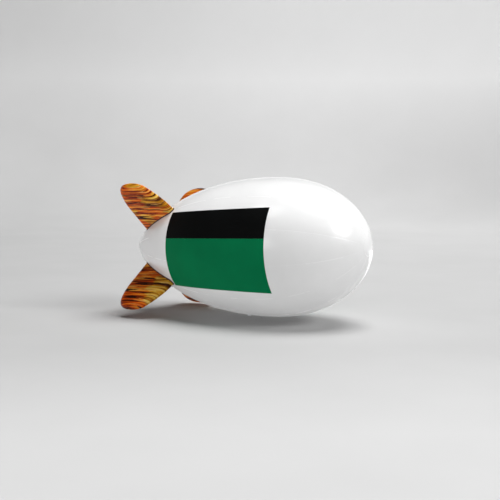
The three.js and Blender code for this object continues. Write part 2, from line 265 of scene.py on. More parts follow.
def ring_faces(grid):
    """Quads of a grid whose every row is a closed ring."""
    return grid_faces(*grid.shape[:2], wrap=True)


def capped_faces(grid):
    """The quads of such a grid, and a face over its first and its last ring."""
    rows, columns = grid.shape[:2]
    ring = list(range(columns))
    return [*ring_faces(grid).tolist(), ring[::-1], [(rows - 1) * columns + k for k in ring]]


def add_object(name, points, faces, sharp_angle):
    mesh = bpy.data.meshes.new(name)
    mesh.from_pydata(np.asarray(points).reshape(-1, 3).tolist(), [], [list(f) for f in faces])
    work = bmesh.new()
    work.from_mesh(mesh)
    bmesh.ops.remove_doubles(work, verts=work.verts, dist=1e-7)
    bmesh.ops.recalc_face_normals(work, faces=work.faces)
    work.to_mesh(mesh)
    work.free()
    mesh.polygons.foreach_set("use_smooth", [True] * len(mesh.polygons))
    mesh.set_sharp_from_angle(angle=math.radians(sharp_angle))
    piece = bpy.data.objects.new(name, mesh)
    bpy.context.scene.collection.objects.link(piece)
    return piece


def shell_faces(rows, columns, wrap, closed_rows):
    """A closed skin: the outer grid's points come first and the inner grid's after them."""
    count = rows * columns
    index = np.arange(count).reshape(rows, columns)
    faces = [
        grid_faces(rows, columns, wrap=wrap),
        grid_faces(rows, columns, count, flip=True, wrap=wrap),
    ]
    edges = [index[row] for row in closed_rows]
    if not wrap:
        edges += [index[:, 0], index[:, -1]]
    for edge in edges:
        begins = edge if wrap else edge[:-1]
        ends = np.roll(edge, -1) if wrap else edge[1:]
        faces.append(np.stack([begins, ends, ends + count, begins + count], -1))
    return np.concatenate(faces)


def add_shell(name, outer, inner, wrap=False, sharp_angle=35, closed_rows=(0, -1)):
    points = np.concatenate([outer.reshape(-1, 3), inner.reshape(-1, 3)])
    faces = shell_faces(*outer.shape[:2], wrap, closed_rows)
    return add_object(name, points, faces, sharp_angle)


def put(piece, body, material, slot, *nodes):
    """Gives a piece its material and its body, and hides the nodes that it stands for."""
    piece.data.materials.append(material)
    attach(piece, body)
    if nodes:
        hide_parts(*nodes)


class Paint:
    """A new material, with short ways to add the nodes that the materials here share."""

    def __init__(self, name):
        self.material = bpy.data.materials.new(name)
        self.material.use_nodes = True
        self.nodes = self.material.node_tree.nodes
        self.here = self.coordinates((1, 1, 1))

    def feed(self, node, inputs):
        """Sets each input to a number or a colour, or links it to another node's output."""
        for name, value in inputs.items():
            socket = node.inputs[name]
            if isinstance(value, bpy.types.NodeSocket):
                self.material.node_tree.links.new(value, socket)
            else:
                socket.default_value = (*value, 1) if socket.type == "RGBA" else value

    def add(self, kind, inputs, **settings):
        node = self.nodes.new("ShaderNode" + kind)
        for name, value in settings.items():
            setattr(node, name, value)
        self.feed(node, inputs)
        return node

    def finish(self, inputs):
        self.feed(self.nodes["Principled BSDF"], inputs)
        return self.material

    def coordinates(self, scale, place=(0, 0, 0), turn=(0, 0, 0)):
        """The piece's own coordinates, multiplied by scale, then turned and moved."""
        source = self.add("TexCoord", {}).outputs["Object"]
        inputs = {"Vector": source, "Location": place, "Rotation": turn, "Scale": scale}
        return self.add("Mapping", inputs, vector_type="POINT").outputs["Vector"]

    def distance_along(self, direction):
        inputs = {0: self.here, 1: direction}
        return self.add("VectorMath", inputs, operation="DOT_PRODUCT").outputs["Value"]

    def noise(self, scale, detail, vector=None, distortion=0.0):
        vector = self.here if vector is None else vector
        inputs = {"Vector": vector, "Scale": scale, "Detail": detail, "Distortion": distortion}
        return self.add("TexNoise", inputs).outputs["Fac"]

    def ramp(self, value, stops):
        """A colour ramp; each stop is a place and a linear colour or a grey."""
        node = self.add("ValToRGB", {"Fac": value})
        elements = node.color_ramp.elements
        for index, (place, colour) in enumerate(stops):
            element = elements[index] if index < 2 else elements.new(place)
            element.position = place
            rgb = colour if isinstance(colour, tuple) else (colour, colour, colour)
            element.color = (*rgb, 1)
        return node.outputs["Color"]

    def spread(self, value, low, high, to_low, to_high):
        """Maps low to high onto another range, and holds the ends beyond them."""
        inputs = {"From Min": low, "From Max": high, "To Min": to_low, "To Max": to_high}
        return self.add("MapRange", {"Value": value, **inputs}).outputs["Result"]

    def cloudy(self, noise, dark, light):
        """A colour that follows a noise."""
        return self.ramp(noise, [(NOISE_LOW, dark), (NOISE_HIGH, light)])

    def drift(self, noise, low, high):
        """A number that follows a noise."""
        return self.spread(noise, NOISE_LOW, NOISE_HIGH, low, high)

    def mix(self, share, first, second, blend="MIX"):
        inputs = {0: share, 6: first, 7: second}
        return self.add("Mix", inputs, data_type="RGBA", blend_type=blend).outputs[2]

    def plus(self, first, second):
        return self.add("Math", {0: first, 1: second}, operation="ADD").outputs["Value"]

    def times(self, first, second):
        return self.add("Math", {0: first, 1: second}, operation="MULTIPLY").outputs["Value"]

    def bump(self, height, depth):
        return self.add("Bump", {"Height": height, "Distance": depth}).outputs["Normal"]


def linear(red, green, blue):
    """A screen colour from 0 to 255 as a linear one."""
    values = []
    for part in (red, green, blue):
        share = part / 255
        values.append(share / 12.92 if share <= 0.04045 else ((share + 0.055) / 1.055) ** 2.4)
    return tuple(values)


def film_material(name, colour, shade, roughness, specular, coat):
    """Coated film: a faint cloudiness, a slight waviness and a fine embossed grain at welds."""
    paint = Paint(name)
    cloud = paint.noise(1.7, 4)
    weld = paint.add("Attribute", {}, attribute_name="weld").outputs["Fac"]
    gloss = paint.drift(cloud, roughness * 0.9, roughness * 1.1)
    grain = paint.times(paint.times(paint.noise(260, 2), weld), 1.2)
    return paint.finish({
        "Base Color": paint.cloudy(cloud, shade, colour),
        "Roughness": paint.plus(gloss, paint.times(weld, 0.05)),
        "Specular IOR Level": specular,
        "Coat Weight": coat,
        "Coat Roughness": 0.12,
        "Normal": paint.bump(paint.plus(paint.noise(9, 2), grain), 0.15 * MM),
    })


def set_weld(piece, values):
    """Marks the welded bands, from 0 to 1, for the film's embossed grain."""
    attribute = piece.data.attributes.new("weld", "FLOAT", "POINT")
    attribute.data.foreach_set("value", values.astype(float))


def weld_rings(radii, places, width, height):
    """How far rings of weld at those places stand up from a disc, at each of its radii."""
    return sum(height * np.exp(-(((radii - at) / width) ** 2)) for at in places)


def gore_columns(radius):
    """Distance across the gore and lift above its neighbour, for each station and column."""
    scale = np.clip(radius / FADE_RADIUS, 0, 1)[:, None]
    half = (radius * GORE_ANGLE / 2)[:, None]
    near = SEAM_COLUMNS * scale
    middle = near[:, -1:] + (half - near[:, -1:]) * np.linspace(0, 1, 7)[1:]
    from_seam = np.concatenate([near, middle], 1)
    starboard = half - from_seam[:, ::-1][:, 1:]
    across = np.concatenate([from_seam - half, starboard, half + LAP_COLUMNS * scale], 1)
    lift = np.zeros(across.shape[1])
    lift[-len(LAP_COLUMNS):] = LAP_LIFT
    return across, lift


def add_gores(material):
    ends = [station_of(CAP_RADIUS, end) for end in (-1, 1)]
    stations = stations_between(*ends, STATION_PITCH)
    radius = hull_radius(stations)
    across, lift = gore_columns(radius)
    x = stations[:, None]
    for index in range(GORE_COUNT):
        angle = index * GORE_ANGLE + across / radius[:, None]
        base = relief(x, angle) + lift
        outer = on_hull(x, angle, base)
        inner = on_hull(x, angle, base - FILM_THICKNESS)
        number = f"{index + 1:02d}"
        piece = add_shell(f"gore_skin_{number}", outer, inner)
        set_weld(piece, np.tile(lift > 0, 2 * len(stations)))
        put(piece, "envelope", material, "hull_film", f"gore_{number}")


def on_cap(radii, angle, end, offset):
    """Points on an end cap, off it along its normal, from its radius and the angle."""
    x = station_of(radii, end)
    slope = np.gradient(x, radii)
    length = np.hypot(1, slope)
    lean = end * slope / length
    radius = radii[:, None] - offset * lean[:, None]
    place = x[:, None] + end * offset / length[:, None]
    return points_of(place, -radius * np.sin(angle), radius * np.cos(angle))


def add_end_caps(material):
    """A disc of film over the gores' ends, with two raised weld rings."""
    radii = np.concatenate([[0, 0.004], np.linspace(0.012, 0.203, 34), [0.2048, 0.205]])
    angle = circle(96)
    lift = CAP_LIFT + weld_rings(radii, CAP_WELDS, CAP_WELD_WIDTH, CAP_WELD_HEIGHT)
    for name, end in (("nose", 1), ("tail", -1)):
        outer = on_cap(radii, angle, end, lift[:, None])
        inner = on_cap(radii, angle, end, CAP_UNDERSIDE)
        piece = add_shell(f"{name}_cap_disc", outer, inner, wrap=True)
        radial = np.array([math.hypot(v.co.y, v.co.z) for v in piece.data.vertices])
        set_weld(piece, np.abs(radial - CAP_GRAIN_MIDDLE) < CAP_GRAIN_REACH)
        put(piece, "envelope", material, "hull_film", f"{name}_cap")


def add_panels(black, green):
    """Each field of the print, between two straight edges seen from the side."""
    split = PANEL_SPLIT_HEIGHT
    black_bottom = split + PANEL_SPLIT_GAP
    fields = [
        ("black", PANEL_TOP, (black_bottom, black_bottom), black),
        ("green", (split, split), PANEL_BOTTOM, green),
    ]
    x = stations_between(*PANEL_ENDS, PANEL_PITCH)
    radius = hull_radius(x)
    for colour, top, bottom, material in fields:
        high = np.arccos(np.interp(x, PANEL_ENDS, top) / radius)
        low = np.arccos(np.interp(x, PANEL_ENDS, bottom) / radius)
        columns = int(np.max((low - high) * radius) / PANEL_PITCH) + 2
        turn = high[:, None] + (low - high)[:, None] * np.linspace(0, 1, columns)
        for name, side in (("starboard", 1), ("port", -1)):
            angle = np.mod(side * turn, 2 * math.pi)
            base = relief(x[:, None], angle)
            outer = on_hull(x[:, None], angle, base + PANEL_OUTSIDE)
            inner = on_hull(x[:, None], angle, base + PANEL_UNDERSIDE)
            piece = add_shell(f"panel_{colour}_film_{name}", outer, inner)
            put(piece, "envelope", material, f"panel_{colour}", f"panel_{colour}_{name}")


def curve_points(corners, steps):
    """A Bezier curve of two to four corner points, without its first point."""
    share = np.linspace(0, 1, steps + 1)[1:, None]
    points = [np.array(corner) for corner in corners]
    while len(points) > 1:
        points = [a + (b - a) * share for a, b in zip(points, points[1:])]
    return points[0]


def fin_outline():
    """The fin's free edge, from inside the hull at the toe round to the heel."""
    points, start = [np.array([FIN_TOE])], FIN_TOE
    for steps, corners in FIN_LEGS:
        points.append(curve_points([start, *corners], steps))
        start = corners[-1]
    return np.concatenate(points)


OUTLINE = fin_outline()
OUTLINE_LENGTHS = lengths_along(OUTLINE)
OUTLINE_HEIGHTS = OUTLINE[:, 1] - hull_radius(OUTLINE[:, 0])


def edge_distance(x, out):
    """Distance to the fin's free edge, and the nearest place's length along it."""
    point = np.stack([x, out], -1)[..., None, :]
    start, leg = OUTLINE[:-1], np.diff(OUTLINE, axis=0)
    share = ((point - start) * leg).sum(-1) / (leg**2).sum(-1)
    share = np.clip(share, 0, 1)
    away = np.linalg.norm(point - start - leg * share[..., None], axis=-1)
    nearest = away.argmin(-1)
    at = np.take_along_axis(share, nearest[..., None], -1)[..., 0]
    along = OUTLINE_LENGTHS[nearest] + at * np.diff(OUTLINE_LENGTHS)[nearest]
    return away.min(-1), along


def fin_half_thickness(x, out, seed):
    """Half the inflated fin's thickness: a flat weld, then a round edge and a crowned side."""
    away, along = edge_distance(x, out)
    inside = np.clip(away - WELD_WIDTH, 0, None)
    share = np.clip(inside / FIN_EDGE_ROUNDING, 0, 1)
    round_edge = (1 - (1 - share) ** 2) ** FIN_EDGE_POWER
    past_edge = np.clip(inside - FIN_EDGE_ROUNDING, 0, None)
    crown = FIN_CROWN * (1 - np.exp(-past_edge / FIN_CROWN_REACH))
    # The puckers' spacing wanders along the weld, and differs between fins.
    phase = 2 * math.pi * along / FIN_PUCKER_PITCH + 1.2 * np.sin(3.1 * along + seed) + seed
    reach = inside / FIN_PUCKER_REACH
    pucker = FIN_PUCKER_DEPTH * reach * np.exp(1 - reach) * (0.5 - 0.5 * np.cos(phase))
    height = (FIN_HALF_THICKNESS - WELD_HALF_THICKNESS) * round_edge + crown - pucker
    return WELD_HALF_THICKNESS + np.clip(height, 0, None)


def fin_boundary():
    """The fin's closed outline: its free edge, and its root just inside the hull."""
    free = OUTLINE[OUTLINE_HEIGHTS + FIN_ROOT_INSET > 0]
    root_x = np.linspace(free[-1, 0], free[0, 0], 120)
    root = np.stack([root_x, hull_radius(root_x) - FIN_ROOT_INSET], -1)
    parts = resample(free, FIN_FREE_POINTS), resample(root, FIN_ROOT_POINTS)
    return np.concatenate([part[:-1] for part in parts])


def fin_grid():
    """Rings of points from the fin's boundary, close together at the weld, to its centre."""
    boundary = fin_boundary()
    ray = np.array(FIN_CENTRE) - boundary
    length = np.linalg.norm(ray, axis=1)
    share = np.linspace(0, 1, 161)
    samples = boundary[:, None, :] + ray[:, None, :] * share[None, :, None]
    away = edge_distance(samples[..., 0], samples[..., 1])[0]
    away = np.maximum.accumulate(away, axis=1)
    places = np.stack([
        np.interp(FIN_RINGS, distances, share * reach) for distances, reach in zip(away, length)
    ])
    for column, gap in enumerate(0.9 * np.diff(FIN_RINGS), 1):
        places[:, column] = np.maximum(places[:, column], places[:, column - 1] + gap)
    inner = np.linspace(0, 1, 14)[1:]
    rest = places[:, -1:] + (length[:, None] - places[:, -1:]) * inner
    places = np.concatenate([places, rest], 1) / length[:, None]
    grid = boundary[:, None, :] + ray[:, None, :] * places[..., None]
    return grid.transpose(1, 0, 2)


def add_fins(materials):
    x, out = fin_grid().transpose(2, 0, 1)
    for seed, (name, (degrees, _)) in enumerate(FINS.items()):
        half = fin_half_thickness(x, out, seed)
        sides = points_of(x, half, out), points_of(x, -half, out)
        piece = add_shell(f"fin_cushion_{name}", *sides, True, 50, closed_rows=(0,))
        piece.rotation_euler = (math.radians(degrees), 0, 0)
        put(piece, "envelope", materials[name], "fin_print", f"fin_{name}")


def fin_edges_at(height):
    """The stations where the fin's free edge stands that high above the hull."""
    clearance = OUTLINE_HEIGHTS - height
    crossings = []
    for index in np.nonzero(np.diff(np.sign(clearance)))[0]:
        share = clearance[index] / (clearance[index] - clearance[index + 1])
        crossings.append(OUTLINE[index, 0] + share * (OUTLINE[index + 1, 0] - OUTLINE[index, 0]))
    return crossings[0], crossings[-1]


def fin_section(height, seed, count=70, fan=9):
    """The fin's section at a height above the hull: places and outward directions in x and y."""
    fore, aft = fin_edges_at(height)
    share = (1 - np.cos(np.linspace(0, math.pi, count))) / 2
    x = fore + (aft - fore) * share
    half = fin_half_thickness(x, hull_radius(x) + height, seed)
    lean = np.gradient(half, x)
    normal = np.stack([-lean, np.ones_like(lean)], -1)
    normal /= np.linalg.norm(normal, axis=1)[:, None]
    side = np.stack([x, half], -1)
    mirror = np.array([1, -1])
    tips = []
    for place, first in ((side[-1], normal[-1]), (side[0], normal[0] * mirror)):
        turn = math.atan2(first[1], first[0])
        away = math.pi if place[0] < side[:, 0].mean() else 0
        sweep = np.linspace(turn, 2 * away - turn, fan + 2)[1:-1]
        middle = np.tile([place[0], 0], (fan, 1))
        tips.append((middle, np.stack([np.cos(sweep), np.sin(sweep)], -1)))
    places = np.concatenate([side, tips[0][0], side[::-1] * mirror, tips[1][0]])
    normals = np.concatenate([normal, tips[0][1], normal[::-1] * mirror, tips[1][1]])
    return places, normals


def add_fin_cuffs(material):
    """Welded tape in the corner between each fin and the hull, all round the root."""
    # Distance out from the fin's side and height above the hull, in millimetres.
    section = [
        (21.5, 0.1), (22, 0.9), (21.3, 1.9), (12, 2.3), (7.5, 3.6), (4.5, 6.5),
        (2.6, 11), (1.9, 21), (1.2, 22), (-0.5, 21.5), (-0.5, 0.1),
    ]
    for seed, (name, (degrees, _)) in enumerate(FINS.items()):
        loops = []
        for away, height in section:
            places, normals = fin_section(height * MM, seed)
            x, y = (places + normals * away * MM).T
            loops.append(points_of(x, y, skin_height(x, y, height * MM)))
        grid = np.stack([*loops, loops[0]])
        piece = add_object(f"fin_cuff_tape_{name}", grid, ring_faces(grid), 60)
        piece.rotation_euler = (math.radians(degrees), 0, 0)
        put(piece, "envelope", material, "cuff_tape", f"fin_cuff_{name}")


def add_patches(material):
    """Round load patches on the keel line, each with two raised weld rings."""
    radii = np.concatenate([[0, 0.01], np.linspace(0.02, 0.1085, 20), [0.1096, PATCH_RADIUS]])
    lift = PATCH_LIFT + weld_rings(radii, PATCH_WELDS, PATCH_WELD_WIDTH, PATCH_WELD_HEIGHT)
    lift[-1] -= PATCH_EDGE_DROP
    lifts = lift[:, None], PATCH_UNDERSIDE
    turns = circle(72)
    for name, station in TETHER_STATIONS.items():
        x = station + radii[:, None] * np.cos(turns)
        y = radii[:, None] * np.sin(turns)
        sides = [points_of(x, y, -skin_height(x, y, up)) for up in lifts]
        piece = add_shell(f"tether_patch_disc_{name}", *sides, wrap=True)
        radial = np.array([math.hypot(v.co.x - station, v.co.y) for v in piece.data.vertices])
        set_weld(piece, radial > PATCH_GRAIN_START)
        put(piece, "envelope", material, "patch_film", f"tether_patch_{name}")


def joint_place(name):
    return next(Vector(joint["pos_m"]) for joint in frame["joints"] if joint["name"] == name)


def webbing_path(station, bar):
    """The webbing's middle line in x and z: foot, neck, round the ring's bar, neck and foot."""
    half = WEBBING_THICKNESS / 2
    eye = RING_WIRE / 2 + RING_CLEARANCE + half
    bend = 2.0 * MM

    def face(x):
        return -(hull_radius(x) + PATCH_LIFT + 0.1 * MM) - half

    side = half + 0.05 * MM
    foot_x = station - np.linspace(WEBBING_FOOT, side + bend, 60)
    fore = [(x, float(face(x))) for x in foot_x]
    corner = (station - side - bend, float(face(station - side - bend)) - bend)
    for turn in np.linspace(0.2, math.pi / 2, 5):
        fore.append((corner[0] + bend * math.sin(turn), corner[1] + bend * math.cos(turn)))
    opening = math.asin(side / eye)
    around = []
    for turn in np.linspace(opening, 2 * math.pi - opening, 56):
        around.append((station - eye * math.sin(turn), bar + eye * math.cos(turn)))
    aft = [(2 * station - x, z) for x, z in fore[::-1]]
    for index, (x, _) in enumerate(aft[5:], 5):
        aft[index] = (x, float(face(x)))
    path = resample(np.array(fore + around + aft), 260)
    for _ in range(6):
        path[1:-1] = 0.25 * path[:-2] + 0.5 * path[1:-1] + 0.25 * path[2:]
    return path


def path_normals(path):
    tangent = np.gradient(path, axis=0)
    tangent /= np.linalg.norm(tangent, axis=1)[:, None]
    return np.stack([-tangent[:, 1], tangent[:, 0]], -1)


def stitch_part():
    """One stitch along x, a flattened bead 3.2 mm long: its points and its faces."""
    along = np.array([-1.6, -1.3, -0.6, 0.6, 1.3, 1.6])[:, None] * MM
    radius = np.array([0.12, 0.4, 0.5, 0.5, 0.4, 0.12])[:, None] * MM
    turns = circle(8)
    grid = points_of(along, radius * np.cos(turns), 0.8 * radius * np.sin(turns))
    return grid.reshape(-1, 3), capped_faces(grid)


def add_stitching(name, station, material):
    """A boxed cross of stitches on each foot of the webbing."""
    stitch, stitch_faces = stitch_part()
    along, aside, up = stitch.T
    near, far, half = 13 * MM, 55 * MM, 20 * MM
    corners = [(near, -half), (far, -half), (far, half), (near, half)]
    parts = []
    for direction in (1, -1):
        for start, end in ((0, 1), (1, 2), (2, 3), (3, 0), (0, 2), (3, 1)):
            (x0, y0), (x1, y1) = corners[start], corners[end]
            count = max(2, int(math.hypot(x1 - x0, y1 - y0) / STITCH_PITCH))
            turn = math.atan2(y1 - y0, direction * (x1 - x0))
            for share in (np.arange(count) + 0.5) / count:
                x = station + direction * (x0 + (x1 - x0) * share)
                y = y0 + (y1 - y0) * share
                depth = hull_radius(x) + PATCH_LIFT + WEBBING_THICKNESS + 0.25 * MM
                point_x = x + along * math.cos(turn) - aside * math.sin(turn)
                point_y = y + along * math.sin(turn) + aside * math.cos(turn)
                point_z = up - depth - hull_slope(x) * (point_x - x)
                parts.append((points_of(point_x, point_y, point_z), stitch_faces))
    piece = join_parts(f"tether_stitching_{name}", parts, 60)
    put(piece, "envelope", material, "webbing")


def add_webbing(material, thread):
    """Flat webbing with rounded, slightly thicker selvedges, and its stitching."""
    selvedge = np.array([25, 24.6, 23.6, 22.2])
    y = np.concatenate([-selvedge, np.linspace(-19, 19, 11), selvedge[::-1]]) * MM
    edge = [0.45, 0.9, 1.08, 0.98]
    thick = WEBBING_THICKNESS / 2 * np.array(edge + [0.94] * 11 + edge[::-1])
    for name, station in TETHER_STATIONS.items():
        path = webbing_path(station, joint_place(f"tether_ring_{name}_swing").z)
        normal = path_normals(path)
        sheets = []
        for sign in (1, -1):
            x = path[:, :1] + sign * normal[:, :1] * thick
            z = path[:, 1:] + sign * normal[:, 1:] * thick
            sheets.append(points_of(x, y, z))
        piece = add_shell(f"tether_loop_{name}", *sheets, sharp_angle=70)
        put(piece, "envelope", material, "webbing", f"tether_webbing_{name}")
        add_stitching(name, station, thread)


def rounded_loop(corners, radii, steps):
    """A closed path through corners, each rounded by an arc of its own radius."""
    path = []
    count = len(corners)
    for index, radius in enumerate(radii):
        here = np.array(corners[index])
        before = np.array(corners[index - 1]) - here
        after = np.array(corners[(index + 1) % count]) - here
        before /= np.linalg.norm(before)
        after /= np.linalg.norm(after)
        half = math.acos(float(np.dot(before, after))) / 2
        middle = before + after
        centre = here + middle / np.linalg.norm(middle) * radius / math.sin(half)
        start = here + before * radius / math.tan(half) - centre
        end = here + after * radius / math.tan(half) - centre
        first, last = math.atan2(start[1], start[0]), math.atan2(end[1], end[0])
        last = first + (last - first + math.pi) % (2 * math.pi) - math.pi
        for turn in np.linspace(first, last, steps):
            path.append(centre + radius * np.array([math.cos(turn), math.sin(turn)]))
    return np.array(path)


def add_rings(material):
    """Bent and welded wire, straight along the bar that the webbing holds."""
    wide = (RING_INSIDE_WIDTH + RING_WIRE) / 2
    low = -(RING_INSIDE_HEIGHT + RING_WIRE)
    corners = [(wide, 0.0), (-wide, 0.0), (-wide, low), (wide, low)]
    radii = [RING_UPPER_CORNER] * 2 + [RING_LOWER_CORNER] * 2
    loop = rounded_loop(corners, radii, 16)
    closed = np.concatenate([loop, loop[:1]])
    path = resample(closed, 181)[:-1]
    ahead = np.roll(path, -1, axis=0) - np.roll(path, 1, axis=0)
    ahead /= np.linalg.norm(ahead, axis=1)[:, None]
    weld = np.exp(-(((path[:, 1:] - 0.45 * low) / (1.8 * MM)) ** 2)) * (path[:, :1] > 0)
    radius = RING_WIRE / 2 - 0.05 * MM + 0.45 * MM * weld
    turns = circle(24)
    outward = radius * np.cos(turns)
    for name, station in TETHER_STATIONS.items():
        x = station + radius * np.sin(turns)
        y = path[:, :1] + ahead[:, 1:] * outward
        z = joint_place(f"tether_ring_{name}_swing").z + path[:, 1:] - ahead[:, :1] * outward
        grid = points_of(x, y, z)
        grid = np.concatenate([grid, grid[:1]])
        piece = add_object(f"tether_ring_wire_{name}", grid, ring_faces(grid), 60)
        put(piece, f"ring_{name}", material, "ring_steel", f"tether_ring_{name}")


VALVE_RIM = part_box("valve_cap")[1].z + 0.3 * MM


def turned(columns, rim_rows, hull_rows=()):
    """A part turned about the valve's axis, from rows of radius and height in millimetres.

    The first rows are up from the cup's rim, and the others are below the hull's skin.
    """
    turns = circle(columns)
    grid = []
    for rows, from_hull in ((rim_rows, False), (hull_rows, True)):
        for radius, height in rows:
            x = VALVE_STATION + radius * MM * np.cos(turns)
            y = radius * MM * np.sin(turns)
            z = -skin_height(x, y, height * MM) if from_hull else VALVE_RIM + height * MM
            grid.append(points_of(x, y, z))
    grid = np.stack(grid)
    return grid, ring_faces(grid)


def prism(corners, low, high, upright=False):
    """A part drawn in x and z, or in x and y if upright, between two values of the third axis."""
    count = len(corners)
    points = [
        (x, other, end) if upright else (x, end, other)
        for end in (low, high)
        for x, other in corners
    ]
    faces = [list(range(count)), list(range(2 * count - 1, count - 1, -1))]
    for index in range(count):
        after = (index + 1) % count
        faces.append([index, after, after + count, index + count])
    return points, faces


def circle_corners(centre, radius, count):
    return [
        (centre.x + radius * math.cos(turn), centre.z + radius * math.sin(turn))
        for turn in circle(count)
    ]


def join_parts(name, parts, sharp_angle):
    points, faces = [], []
    for part_points, part_faces in parts:
        start = len(points)
        points.extend([tuple(p) for p in np.asarray(part_points).reshape(-1, 3)])
        faces.extend([[start + k for k in face] for face in part_faces])
    return add_object(name, points, faces, sharp_angle)


def add_valve(material, shadow):
    """Flanged cup with a one-way flap at its bottom, and a knurled cap on a pin."""
    hinge = joint_place("valve_cap_hinge")
    rim_rows = [
        (0, 20), (6, 20), (6.4, 18.6), (9, 18.6), (9.4, 20), (22, 20), (25.4, 19.2), (26, 17.5),
        (26, 3.2), (26.4, 1.2), (27.4, 0.2), (32.6, 0.2), (33.7, 0.8), (34, 2), (34, 4),
        (32.8, 5), (32.8, 7), (34, 8), (34, 10), (32.8, 11), (32.8, 13), (34, 14), (34, 15.5),
    ]
    hull_rows = [
        (35.4, 4.8), (38.5, 4.0), (52, 3.6), (53, 4.3), (55, 4.3), (56, 3.5), (60.6, 3.3),
        (61.7, 2.6), (62, 1.6), (62, 0.4), (34, 0.4), (0, 0.4),
    ]
    neck_side, ear_foot = VALVE_STATION - 33 * MM, VALVE_RIM + 1.2 * MM
    # The ear's rounded end: distances from the hinge in x and z, in millimetres.
    ear_end = [(-5.2, 1), (-4.2, -3.1), (0, -5.2), (4.2, -3.1), (5.2, 1)]
    ear = [
        (neck_side, VALVE_RIM + 15 * MM),
        *((hinge.x + x * MM, hinge.z + z * MM) for x, z in ear_end),
        (hinge.x + 5.4 * MM, ear_foot),
        (neck_side, ear_foot),
    ]
    cup = [
        turned(96, rim_rows, hull_rows),
        prism(ear, 6.6 * MM, 10.4 * MM),
        prism(ear, -10.4 * MM, -6.6 * MM),
        prism(circle_corners(hinge, 2.5 * MM, 24), -11.2 * MM, 11.2 * MM),
    ]
    piece = join_parts("valve_cup", cup, 40)
    put(piece, "envelope", material, "valve_plastic", "valve_body")
    flap_rows = [(0, 19.7), (4.4, 19.7), (5, 19.3), (5, 18.9), (0, 18.9)]
    spider = [turned(40, flap_rows)]
    low, high = VALVE_RIM + 17.9 * MM, VALVE_RIM + 19.9 * MM
    for turn in (0, math.pi / 2):
        along = np.array([math.cos(turn), math.sin(turn)])
        across = np.array([-along[1], along[0]])
        for sign in (1, -1):
            corners = []
            for reach, half in ((9.6, -1.1), (22.5, -0.8), (22.5, 0.8), (9.6, 1.1)):
                x, y = sign * along * reach * MM + across * half * MM
                corners.append((VALVE_STATION + x, y))
            spider.append(prism(corners, low, high, upright=True))
    piece = join_parts("valve_spider", spider, 40)
    # Painted shade: the spider is the valve's plastic in a darker grey, for the shade down in the
    # cup.
    put(piece, "envelope", shadow, "valve_plastic")
    add_valve_cap(material, hinge)


def thumb_tab(low, high):
    """A lifting tab with a rounded outer edge and rounded sides, on the lid's fore side."""
    start, reach, half, edge = 32.5 * MM, 8.5 * MM, 8 * MM, 2.2 * MM
    arc = np.linspace(-math.pi / 2, math.pi / 2, 9)
    rings = []
    for side in np.linspace(-1, 1, 13):
        taper = (1 - abs(side) ** 6) ** 0.5
        rise = (high - low) / 2 * (0.55 + 0.45 * taper)
        outer = start + (reach - edge) * taper + edge * np.cos(arc)
        x = np.array([start, *outer, start])
        z = (low + high) / 2 + rise * np.array([-1, *np.sin(arc), 1])
        rings.append(points_of(VALVE_STATION + x, half * side, z))
    grid = np.stack(rings)
    return grid, capped_faces(grid)


def add_valve_cap(material, hinge):
    """Knurled lid with a recess under it, its hinge sleeve and its thumb tab."""
    low, high = (corner.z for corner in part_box("valve_cap"))
    # Radius in millimetres, height, and how much of the knurl shows there.
    rows = [
        (0, high - 0.8 * MM, 0), (23, high - 0.8 * MM, 0), (24, high, 0), (30, high, 0),
        (33, high, 0), (33.8, high - 0.7 * MM, 0.3), (33.8, high - 1.4 * MM, 1),
        (33.8, low + 1.6 * MM, 1), (33.4, low + 0.7 * MM, 0.4), (32.4, low, 0),
        (25.5, low, 0), (24.5, low + 0.9 * MM, 0), (18, low + 1.1 * MM, 0),
        (17, low + 0.3 * MM, 0), (8, low + 0.1 * MM, 0), (0, low, 0),
    ]
    turns = circle(240)
    knurl = KNURL_DEPTH * np.cos(KNURL_RIBS * turns)
    lid = []
    for radius, height, share in rows:
        reach = radius * MM + share * knurl
        lid.append(points_of(VALVE_STATION + reach * np.cos(turns), reach * np.sin(turns), height))
    lid = np.stack(lid)
    half = 5.9 * MM
    near, far = hinge.x + 2.7 * MM, VALVE_STATION - 30 * MM
    bottom, top = low + 0.3 * MM, high - 0.2 * MM
    tongue = [(near, bottom), (far, bottom), (far, top), (near, top)]
    outer, bore = (np.array(circle_corners(hinge, size * MM, 32)) for size in (5.3, 2.8))
    sleeve = np.stack([
        points_of(ring[:, 0], y, ring[:, 1])
        for ring, y in ((outer, -half), (outer, half), (bore, half), (bore, -half), (outer, -half))
    ])
    parts = [
        (lid, ring_faces(lid)),
        prism(tongue, -half, half),
        (sleeve, ring_faces(sleeve)),
        thumb_tab(low + 1 * MM, high - 1 * MM),
    ]
    piece = join_parts("valve_lid", parts, 40)
    put(piece, "valve_cap", material, "valve_plastic", "valve_cap")


